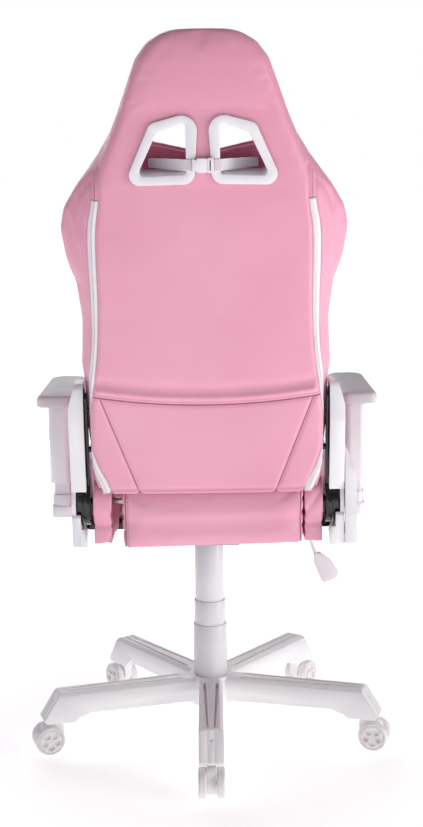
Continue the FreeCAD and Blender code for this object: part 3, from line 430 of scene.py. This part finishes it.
def leather_look(f, colour_source, seams):
    """Fine pebbled synthetic leather over an already mixed colour; its seams are grooved and darkened with
    painted shade.
    """
    # painted shade: the seam lines are mixed toward the darker seam pink
    f.colour(f.blend(f.maths("MULTIPLY", seams, 0.8), colour_source, SEAM_SHADE_AND_THREAD_PINK))
    pebble = f.cells(1500.0)
    folds = f.noise(13.0, 4.0, 0.6)
    f.rough(f.spread(f.noise(90.0, 4.0), 0.3, 0.7, 0.38, 0.52))
    ground = f.relief(folds, 0.0016)
    grooved = f.relief(f.maths("SUBTRACT", 1.0, seams), 0.0012, ground)
    f.relief(pebble, 0.00012, grooved)
    f.shader.inputs["Sheen Weight"].default_value = 0.12
    f.shader.inputs["Sheen Roughness"].default_value = 0.4
    f.shader.inputs["Specular IOR Level"].default_value = 0.4
    return f.mat


PINK = srgb(240, 172, 193)
PINK_SHADE = srgb(234, 163, 187)
WHITE_LEATHER = srgb(240, 233, 238)


def pink_tone(f):
    return f.blend(f.spread(f.noise(4.0, 3.0), 0.35, 0.65, 0.0, 1.0), PINK, PINK_SHADE)


def pink_leather(name, seam_at):
    """Plain pink cover with one stitched seam on each side, at a distance from the middle."""
    f = Finish(name)
    split = f.add("ShaderNodeSeparateXYZ")
    f.join(f.place, split.inputs[0])
    side = f.maths("ABSOLUTE", f.maths("SUBTRACT", split.outputs["X"], seam_at[0]))
    # the seam line is painted darker, painted shade in its groove; the dashes beside it are the stitch
    # thread
    seams = seam_line(f, f.maths("SUBTRACT", side, seam_at[1]))
    run = f.maths("ADD", split.outputs["Z"], split.outputs["Y"])
    dashes = f.spread(f.maths("SINE", f.maths("MULTIPLY", run, 2.0 * math.pi / 0.0042)), 0.0, 0.4, 0.0, 0.7)
    beside = seam_line(f, f.maths("SUBTRACT", side, seam_at[1] - 0.0042), 0.0004)
    seams = f.maths("MAXIMUM", seams, f.maths("MULTIPLY", beside, dashes))
    return leather_look(f, pink_tone(f), seams)



seat_low, seat_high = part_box("seat_cushion")
pad = foam_copy("seat_pad", ["seat_cushion"])
flat_below = points(pad)[:, 2] < seat_low.z + 0.03
swell(pad, flat_below, 0.012)
CHANNELS = 4
PAD_SEAM = 0.118
channel_pitch = (seat_high.y - seat_low.y - 0.16) / CHANNELS


def seat_channels(co):
    rows = (co[:, 1] - seat_low.y - 0.12) / channel_pitch
    off = np.abs(rows - np.clip(np.round(rows), 0, CHANNELS - 1)) * channel_pitch
    side = np.abs(np.abs(co[:, 0]) - PAD_SEAM)
    near = np.where(np.abs(co[:, 0]) < PAD_SEAM, off, 1.0)
    near = np.minimum(near, side)
    return np.where(co[:, 2] > seat_high.z - 0.03, near, 1.0)


sew(pad, seat_channels, 0.005, 0.005)
pad.data.materials.append(pink_leather("pink seat pad leather", (0.0, PAD_SEAM)))
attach(pad, "seat")
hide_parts("seat_cushion")

GATHERS = 3.2
for side in ("left", "right"):
    wing = foam_copy("seat_wing_" + side, ["seat_bolster_" + side])
    low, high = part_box("seat_bolster_" + side)
    swell(wing, points(wing)[:, 2] < low.z + 0.03, 0.008)
    crest = abs(high.x + low.x) / 2 + 0.012

    def crest_seam(co):
        off = np.abs(np.abs(co[:, 0]) - crest)
        return np.where(co[:, 2] > low.z + 0.06, off, 1.0)

    inner_x = min(abs(high.x), abs(low.x))
    gather_z = low.z + 0.035

    def gathers(co):
        """Folds that run from the tight inner corner of the turned-in block."""
        dx = np.abs(co[:, 0]) - inner_x
        dz = co[:, 2] - gather_z
        reach = np.hypot(dx, dz)
        turn = np.arctan2(dz, dx)
        fold = np.abs((turn * GATHERS / math.pi + 0.5) % 1.0 - 0.5) * reach * math.pi / GATHERS
        return np.where((co[:, 1] > high.y - 0.05) & (reach > 0.004), fold, 1.0)

    sew(wing, crest_seam, 0.0025, 0.004)
    sew(wing, gathers, 0.0022, 0.005)
    wing.data.materials.append(pink_leather("pink wing leather " + side, (0.0, crest)))
    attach(wing, "seat")
    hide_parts("seat_bolster_" + side)

roll = foam_copy("seat_tail_roll", ["seat_rear_roll"])
roll_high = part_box("seat_rear_roll")[1]
swell(roll, points(roll)[:, 1] < roll_high.y - 0.03, 0.006)
roll_hem = roll_high.x - 0.009
FOLDS_PER_METRE = 42.0
FOLD_SLANT = 9.0
ROLL_SHIFT = 0.008
ROLL_TILT = -0.02
ROLL_WIDER = 1.04


def hem_lines(co):
    return np.abs(np.abs(co[:, 0]) - roll_hem)


def end_folds(co):
    """Slack cover caught up at both ends of the roll."""
    phase = co[:, 2] * FOLDS_PER_METRE + np.abs(co[:, 0]) * FOLD_SLANT
    rows = np.abs(phase % 1.0 - 0.5) / FOLDS_PER_METRE
    return np.where(np.abs(co[:, 0]) > roll_hem + 0.001, rows, 1.0)


sew(roll, hem_lines, 0.0025, 0.0025)
sew(roll, end_folds, 0.002, 0.004)
co = points(roll)
co[:, 2] += ROLL_TILT * co[:, 0]
co[:, 0] = co[:, 0] * ROLL_WIDER - ROLL_SHIFT
move_to(roll, co)
roll.data.materials.append(pink_leather("pink roll leather", (-ROLL_SHIFT, roll_hem * ROLL_WIDER)))
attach(roll, "seat")
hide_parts("seat_rear_roll")


# ---------------------------------------------------------------- side covers and recliners
# Toothed steel recliners on a cross shaft join seat and back. White covers clip over them,
# and the one on the sitter's right is deeper because the recline lever works behind it.

satin_white = moulded_plastic("satin white cover", srgb(242, 240, 243), srgb(235, 232, 237), 0.33)
gloss_black = painted_steel("gloss black steel", srgb(7, 6, 7), srgb(12, 11, 12), 0.1)
for side in ("left", "right"):
    dress(["cover_side_lower_" + side, "cover_side_upper_" + side], satin_white, 0.0015)
    dress(["recliner_seat_" + side, "recliner_back_" + side], gloss_black, 0.0008)
dress(["recline_lever"], black_plastic, 0.0015)
dress(["recline_shaft"], bright_steel, 0.0004)


# ---------------------------------------------------------------- back
# One foam moulding over a tube frame, covered in pink leather cut to a centre panel, a lower
# panel and two side wings. White piping strips run down both sides of the rear.

joint = [j for j in frame["joints"] if j["name"] == "back_recline"][0]
pivot = np.array(joint["pos_m"])
LEAN = math.radians(9.2)
up_back = np.array([0.0, math.sin(LEAN), math.cos(LEAN)])
out_back = np.array([0.0, math.cos(LEAN), -math.sin(LEAN)])

# how far up the back, and half widths of the white strip's inner and outer edge there
STRIP_UP = [0.03, 0.08, 0.117, 0.177, 0.215, 0.285, 0.36, 0.424, 0.474, 0.52]
STRIP_IN = [0.160, 0.181, 0.1915, 0.1895, 0.183, 0.1745, 0.1715, 0.172, 0.171, 0.165]
STRIP_OUT = [0.176, 0.194, 0.195, 0.193, 0.193, 0.185, 0.184, 0.1855, 0.1845, 0.177]


def on_back(co):
    """Across, up and outward distances of points measured on the leaning back."""
    away = co - pivot
    return co[:, 0], away @ up_back, away @ out_back


BAND_UP = 0.183
BAND_BOW = 0.014 / 0.18 ** 2
CORNER_HALF = 0.117
CORNER_UP = 0.04
CORNER_SLOPE = (0.181 - 0.117) / (0.213 - 0.04)
STRIP_LOW = 0.03
STRIP_TOP = 0.52
SEAM_HALF = 0.171
SEAM_TOP = 0.572
HEM = 0.036
REAR_OUT = 0.02


def band_low(x):
    """How far up the crease between the upper and the lower panel runs."""
    return BAND_UP + BAND_BOW * x ** 2


def corner_line(up):
    """Half width of the lower panel, which narrows downward."""
    return CORNER_HALF + (up - CORNER_UP) * CORNER_SLOPE


def rear_seams(co):
    x, up, out = on_back(co)
    across = np.abs(x)
    near = np.abs(across - np.interp(up, STRIP_UP, STRIP_IN))
    near = np.minimum(near, np.abs(across - np.interp(up, STRIP_UP, STRIP_OUT)))
    near = np.where((up > 0.02) & (up < SEAM_TOP), near, 1.0)
    inside = across < np.interp(up, STRIP_UP, STRIP_IN)
    near = np.where(inside, np.minimum(near, np.abs(up - band_low(x))), near)
    diagonal = np.abs(across - corner_line(up)) * 0.94
    near = np.where(up < band_low(x), np.minimum(near, diagonal), near)
    near = np.minimum(near, np.where(across < 0.16, np.abs(up - HEM), 1.0))
    return np.where(out > REAR_OUT, near, 1.0)


RIDGE_UP = 0.012
RIDGE_HIGH = 0.0045
RIDGE_WIDE = 0.0055
DIP_UP = 0.028
DIP_DEEP = 0.003
DIP_WIDE = 0.008


def rolled_edge(obj):
    """The upper panel's lower edge is turned over a cord: a soft ridge with a dip above it."""
    co = points(obj)
    x, up, out = on_back(co)
    fade = np.clip((np.interp(up, STRIP_UP, STRIP_IN) - np.abs(x)) / 0.008, 0.0, 1.0) * (out > REAR_OUT)
    above = up - band_low(x)
    ridge = RIDGE_HIGH * np.exp(-((above - RIDGE_UP) / RIDGE_WIDE) ** 2)
    dip = DIP_DEEP * np.exp(-((above - DIP_UP) / DIP_WIDE) ** 2)
    move_to(obj, co + (fade * (ridge - dip))[:, None] * out_back)


PANEL_EDGE = 0.118
PLEATS = 6
PLEAT_LOW = 0.09
PLEAT_PITCH = 0.075


def front_seams(co):
    x, up, out = on_back(co)
    near = np.abs(np.abs(x) - PANEL_EDGE)
    row = np.clip(np.round((up - PLEAT_LOW) / PLEAT_PITCH), 0, PLEATS - 1)
    rows = np.abs(up - PLEAT_LOW - row * PLEAT_PITCH)
    near = np.where(np.abs(x) < PANEL_EDGE, np.minimum(near, rows), near)
    return np.where((out < 0.0) & (up > 0.03) & (up < 0.52), near, 1.0)


back = foam_copy("back_upholstery", ["back_cushion", "back_frame"], rounds=8, skin=0.002)
start = points(back)
seam_hold = (rear_seams(start) < 0.004) | (front_seams(start) < 0.004)
x0, up0, out0 = on_back(start)
near_hole = (np.abs(x0) < 0.125) & (up0 > 0.535) & (up0 < 0.66)
swell(back, seam_hold | near_hole | (up0 < 0.02), 0.007)
sew(back, rear_seams, 0.0028, 0.0032)
rolled_edge(back)
sew(back, front_seams, 0.004, 0.005)


def half_width_at(f, height, places, values):
    """A value that follows a smooth line with height, as a float curve."""
    node = f.add("ShaderNodeFloatCurve")
    curve = node.mapping.curves[0]
    curve.points[0].location = (0.0, values[0])
    curve.points[1].location = (1.0, values[-1])
    for place, value in zip(places, values):
        curve.points.new(place, value)
    node.mapping.update()
    f.join(height, node.inputs["Value"])
    return node.outputs[0]


def back_leather():
    f = Finish("pink and white back leather")
    shift = f.add("ShaderNodeVectorMath", operation="SUBTRACT")
    f.join(f.place, shift.inputs[0])
    shift.inputs[1].default_value = tuple(pivot)
    lengths = []
    for direction in (up_back, out_back):
        dot = f.add("ShaderNodeVectorMath", operation="DOT_PRODUCT")
        f.join(shift.outputs[0], dot.inputs[0])
        dot.inputs[1].default_value = tuple(direction)
        lengths.append(dot.outputs["Value"])
    height, outward = lengths
    split = f.add("ShaderNodeSeparateXYZ")
    f.join(f.place, split.inputs[0])
    across = f.maths("ABSOLUTE", split.outputs["X"])
    inner = half_width_at(f, height, STRIP_UP, STRIP_IN)
    outer = half_width_at(f, height, STRIP_UP, STRIP_OUT)
    past = f.spread(f.maths("SUBTRACT", across, inner), -0.0005, 0.0005, 0.0, 1.0)
    short = f.spread(f.maths("SUBTRACT", outer, across), -0.0005, 0.0005, 0.0, 1.0)
    low = f.spread(height, STRIP_LOW - 0.0005, STRIP_LOW + 0.0005, 0.0, 1.0)
    high = f.spread(height, STRIP_TOP + 0.0005, STRIP_TOP - 0.0005, 0.0, 1.0)
    rear = f.spread(outward, 0.018, 0.022, 0.0, 1.0)
    strip = f.maths("MULTIPLY", f.maths("MULTIPLY", past, short), f.maths("MULTIPLY", low, high))
    strip = f.maths("MULTIPLY", strip, rear)
    centre = f.maths("MULTIPLY", f.maths("ADD", inner, outer), 0.5)
    middle = f.maths("ABSOLUTE", f.maths("SUBTRACT", across, centre))
    # a thin line down the middle of the white strip is painted greyer: painted shade in its crease
    crease = f.spread(middle, 0.0004, 0.0011, 0.75, 0.0)
    white = f.blend(crease, WHITE_LEATHER, srgb(206, 186, 198))
    bow = f.maths("MULTIPLY", f.maths("MULTIPLY", across, across), BAND_BOW)
    above = f.maths("SUBTRACT", f.maths("SUBTRACT", height, bow), BAND_UP)
    within = f.spread(f.maths("SUBTRACT", inner, across), 0.0, 0.001, 0.0, 1.0)
    crease_line = f.maths("MULTIPLY", seam_line(f, above, 0.0009), within)
    # painted shadow: a softer darker line just above the crease, under the rolled ridge
    second = f.maths("SUBTRACT", above, 0.0052)
    painted_shadow_under_ridge = f.maths("MULTIPLY", f.maths("MULTIPLY", seam_line(f, second, 0.0012), 0.4), within)
    slope = f.maths("MULTIPLY", f.maths("SUBTRACT", height, CORNER_UP), CORNER_SLOPE)
    diagonal = f.maths("SUBTRACT", f.maths("SUBTRACT", across, slope), CORNER_HALF)
    below = f.spread(above, 0.0, -0.001, 0.0, 1.0)
    diagonal_line = f.maths("MULTIPLY", seam_line(f, diagonal, 0.0005), below)
    over_strip = f.spread(height, STRIP_TOP, STRIP_TOP + 0.001, 0.0, 1.0)
    over_seam = f.maths("MULTIPLY", over_strip, f.spread(height, SEAM_TOP, SEAM_TOP - 0.01, 0.0, 0.7))
    tail_seam = f.maths("MULTIPLY", seam_line(f, f.maths("SUBTRACT", across, SEAM_HALF), 0.0005), over_seam)
    end_line = seam_line(f, f.maths("SUBTRACT", height, STRIP_TOP), 0.0008)
    end_line = f.maths("MULTIPLY", end_line, f.maths("MULTIPLY", past, short))
    edge_in = seam_line(f, f.maths("SUBTRACT", across, inner), 0.0006)
    edge_out = seam_line(f, f.maths("SUBTRACT", across, outer), 0.0006)
    edges = f.maths("MULTIPLY", f.maths("MAXIMUM", edge_in, edge_out), f.maths("MULTIPLY", low, high))
    # the seam and crease lines are grooved in the bump and also painted darker: painted shade in the
    # grooves
    lines = f.maths("MAXIMUM", crease_line, painted_shadow_under_ridge)
    for other in (diagonal_line, tail_seam, end_line, f.maths("MULTIPLY", edges, 0.45)):
        lines = f.maths("MAXIMUM", lines, other)
    lines = f.maths("MULTIPLY", lines, rear)
    # the pink turns darker higher up the back
    darker_higher_up = f.spread(height, 0.35, 0.78, 0.0, 0.6)
    pink = f.blend(darker_higher_up, pink_tone(f), srgb(222, 146, 170))
    return leather_look(f, f.blend(strip, pink, white), lines)


back.data.materials.append(back_leather())
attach(back, "back")
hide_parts("back_cushion")
dress(["back_frame"], black_steel, 0.0)


# ---------------------------------------------------------------- harness openings
# White liners clip through the back from both sides and frame the two openings.

liner_plastic = moulded_plastic("liner plastic", srgb(236, 232, 237), srgb(228, 223, 230), 0.35)
for side in ("left", "right"):
    dress(["hole_trim_" + side], liner_plastic, 0.0012)


# ---------------------------------------------------------------- head pillow and its straps
# A bone-shaped cushion in rose velour hangs on white webbing that passes through the
# openings and closes behind the back with a side-release buckle.

def velour(name, colour, shade):
    f = Finish(name)
    brushed = f.noise(22.0, 5.0, 0.65)
    pile = f.noise(1600.0, 2.0)
    f.colour(f.blend(f.spread(brushed, 0.35, 0.65, 0.0, 1.0), colour, shade))
    f.rough(f.spread(pile, 0.3, 0.7, 0.8, 1.0))
    f.relief(pile, 0.0003)
    f.shader.inputs["Sheen Weight"].default_value = 0.8
    f.shader.inputs["Sheen Roughness"].default_value = 0.3
    f.shader.inputs["Sheen Tint"].default_value = srgb(250, 190, 205)
    return f.mat


pillow = foam_copy("neck_pillow", ["head_pillow"], rounds=10, skin=0.004)
x0, up0, out0 = on_back(points(pillow))
mid_out = (out0.min() + out0.max()) / 2
swell(pillow, (out0 > out0.max() - 0.006) | (np.abs(out0 - mid_out) < 0.003), 0.012)


def pillow_seam(co):
    return np.abs(on_back(co)[2] - mid_out)


sew(pillow, pillow_seam, 0.004, 0.004)
pillow.data.materials.append(velour("rose velour", srgb(206, 108, 138), srgb(186, 88, 120)))
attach(pillow, "back")
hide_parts("head_pillow")

webbing = woven("white webbing", srgb(240, 234, 238), srgb(214, 204, 211), 0.0016, 0.0003)
RIB = 0.0032
for side in ("left", "right"):
    strap = foam_copy("webbing_strap_" + side, ["strap_" + side], voxel=0.0008, rounds=1, skin=0.0)
    co = points(strap)
    across_strap = on_back(co)[1]
    ribs = 0.00018 * np.cos(2.0 * math.pi * across_strap / RIB)
    move_to(strap, co + normals(strap) * ribs[:, None])
    for polygon in strap.data.polygons:
        polygon.use_smooth = True
    strap.data.materials.append(webbing)
    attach(strap, "back")
    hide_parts("strap_" + side)
dress(["buckle_socket", "buckle_tongue"], liner_plastic, 0.0008)


# ---------------------------------------------------------------- arms
# Each arm is a steel foot and tube with a white sleeve sliding on it, a push button for the
# height, and a soft grey-white moulded pad on a turntable.

pad_foam = moulded_plastic("arm pad skin", srgb(222, 218, 220), srgb(214, 209, 213), 0.55, 1500.0, 0.00015)
for side in ("left", "right"):
    dress(["arm_bracket_" + side, "arm_sleeve_" + side], satin_white, 0.001)
    dress(["arm_plate_" + side], black_plastic, 0.0006)
    dress(["arm_button_" + side], liner_plastic, 0.001)
    rest = foam_copy("arm_rest_" + side, ["arm_pad_" + side], voxel=0.004, rounds=4, skin=0.001)
    low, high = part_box("arm_pad_" + side)
    swell(rest, points(rest)[:, 2] < low.z + 0.012, 0.002)
    rest.data.materials.append(pad_foam)
    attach(rest, "pad_" + side)
    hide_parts("arm_pad_" + side)


# ---------------------------------------------------------------- studio
# Pale floor, soft light from all round with a broad key on the sitter's right.

def studio_floor():
    bpy.ops.mesh.primitive_plane_add(size=60.0, location=(0.0, 0.0, -0.0005))
    floor = bpy.context.object
    floor.name = "floor"
    f = Finish("pale floor")
    f.colour(f.blend(f.noise(3.0), srgb(250, 249, 250), srgb(247, 246, 247)))
    reach = f.add("ShaderNodeVectorMath", operation="LENGTH")
    f.join(f.place, reach.inputs[0])
    glow = f.spread(reach.outputs["Value"], 0.4, 1.3, 0.55, 0.95)
    f.join(glow, f.shader.inputs["Emission Strength"])
    f.shader.inputs["Emission Color"].default_value = (1.0, 1.0, 1.0, 1.0)
    f.shader.inputs["Roughness"].default_value = 0.9
    f.shader.inputs["Specular IOR Level"].default_value = 0.1
    floor.data.materials.append(f.mat)


def soft_box(name, place, size, power, tint):
    light = bpy.data.lights.new(name, "AREA")
    light.shape = "RECTANGLE"
    light.size = size
    light.size_y = size
    light.energy = power
    light.color = tint
    obj = bpy.data.objects.new(name, light)
    bpy.context.scene.collection.objects.link(obj)
    obj.location = place
    aim = Vector((0.0, 0.1, 0.7)) - obj.location
    obj.rotation_euler = aim.to_track_quat("-Z", "Y").to_euler()


def white_room():
    """Soft light from all round, in front of a plain white backdrop."""
    world = bpy.data.worlds.new("studio")
    world.use_nodes = True
    nodes = world.node_tree.nodes
    links = world.node_tree.links
    light = nodes["Background"]
    light.inputs["Color"].default_value = (0.94, 0.95, 1.0, 1.0)
    light.inputs["Strength"].default_value = 0.25
    backdrop = nodes.new("ShaderNodeBackground")
    backdrop.inputs["Color"].default_value = (1.0, 1.0, 1.0, 1.0)
    ray = nodes.new("ShaderNodeLightPath")
    either = nodes.new("ShaderNodeMixShader")
    links.new(ray.outputs["Is Camera Ray"], either.inputs["Fac"])
    links.new(light.outputs[0], either.inputs[1])
    links.new(backdrop.outputs[0], either.inputs[2])
    links.new(either.outputs[0], nodes["World Output"].inputs["Surface"])
    bpy.context.scene.world = world


studio_floor()
white_room()
soft_box("key", (-3.1, 1.5, 0.9), 1.6, 47.0, (1.0, 0.975, 0.955))
soft_box("fill", (1.6, 3.4, 0.7), 2.4, 6.0, (0.93, 0.94, 1.0))
soft_box("front", (0.8, -3.0, 2.2), 2.4, 42.0, (1.0, 1.0, 1.0))
bpy.context.scene.view_settings.view_transform = "Standard"

# the camera stands behind the chair at about eye height and looks a little down
camera = bpy.data.objects.new("camera", bpy.data.cameras.new("camera"))
bpy.context.scene.collection.objects.link(camera)
camera.data.lens = 65.15
camera.data.sensor_width = 36.0
camera.location = (-0.0079, 2.7237, 1.0414)
PITCH = math.radians(8.977)
ROLL = math.radians(-0.77)
turned = Matrix.Rotation(math.pi, 4, "Z") @ Matrix.Rotation(math.pi / 2 - PITCH, 4, "X")
turned = turned @ Matrix.Rotation(ROLL, 4, "Z")
camera.rotation_euler = turned.to_euler()
bpy.context.scene.camera = camera
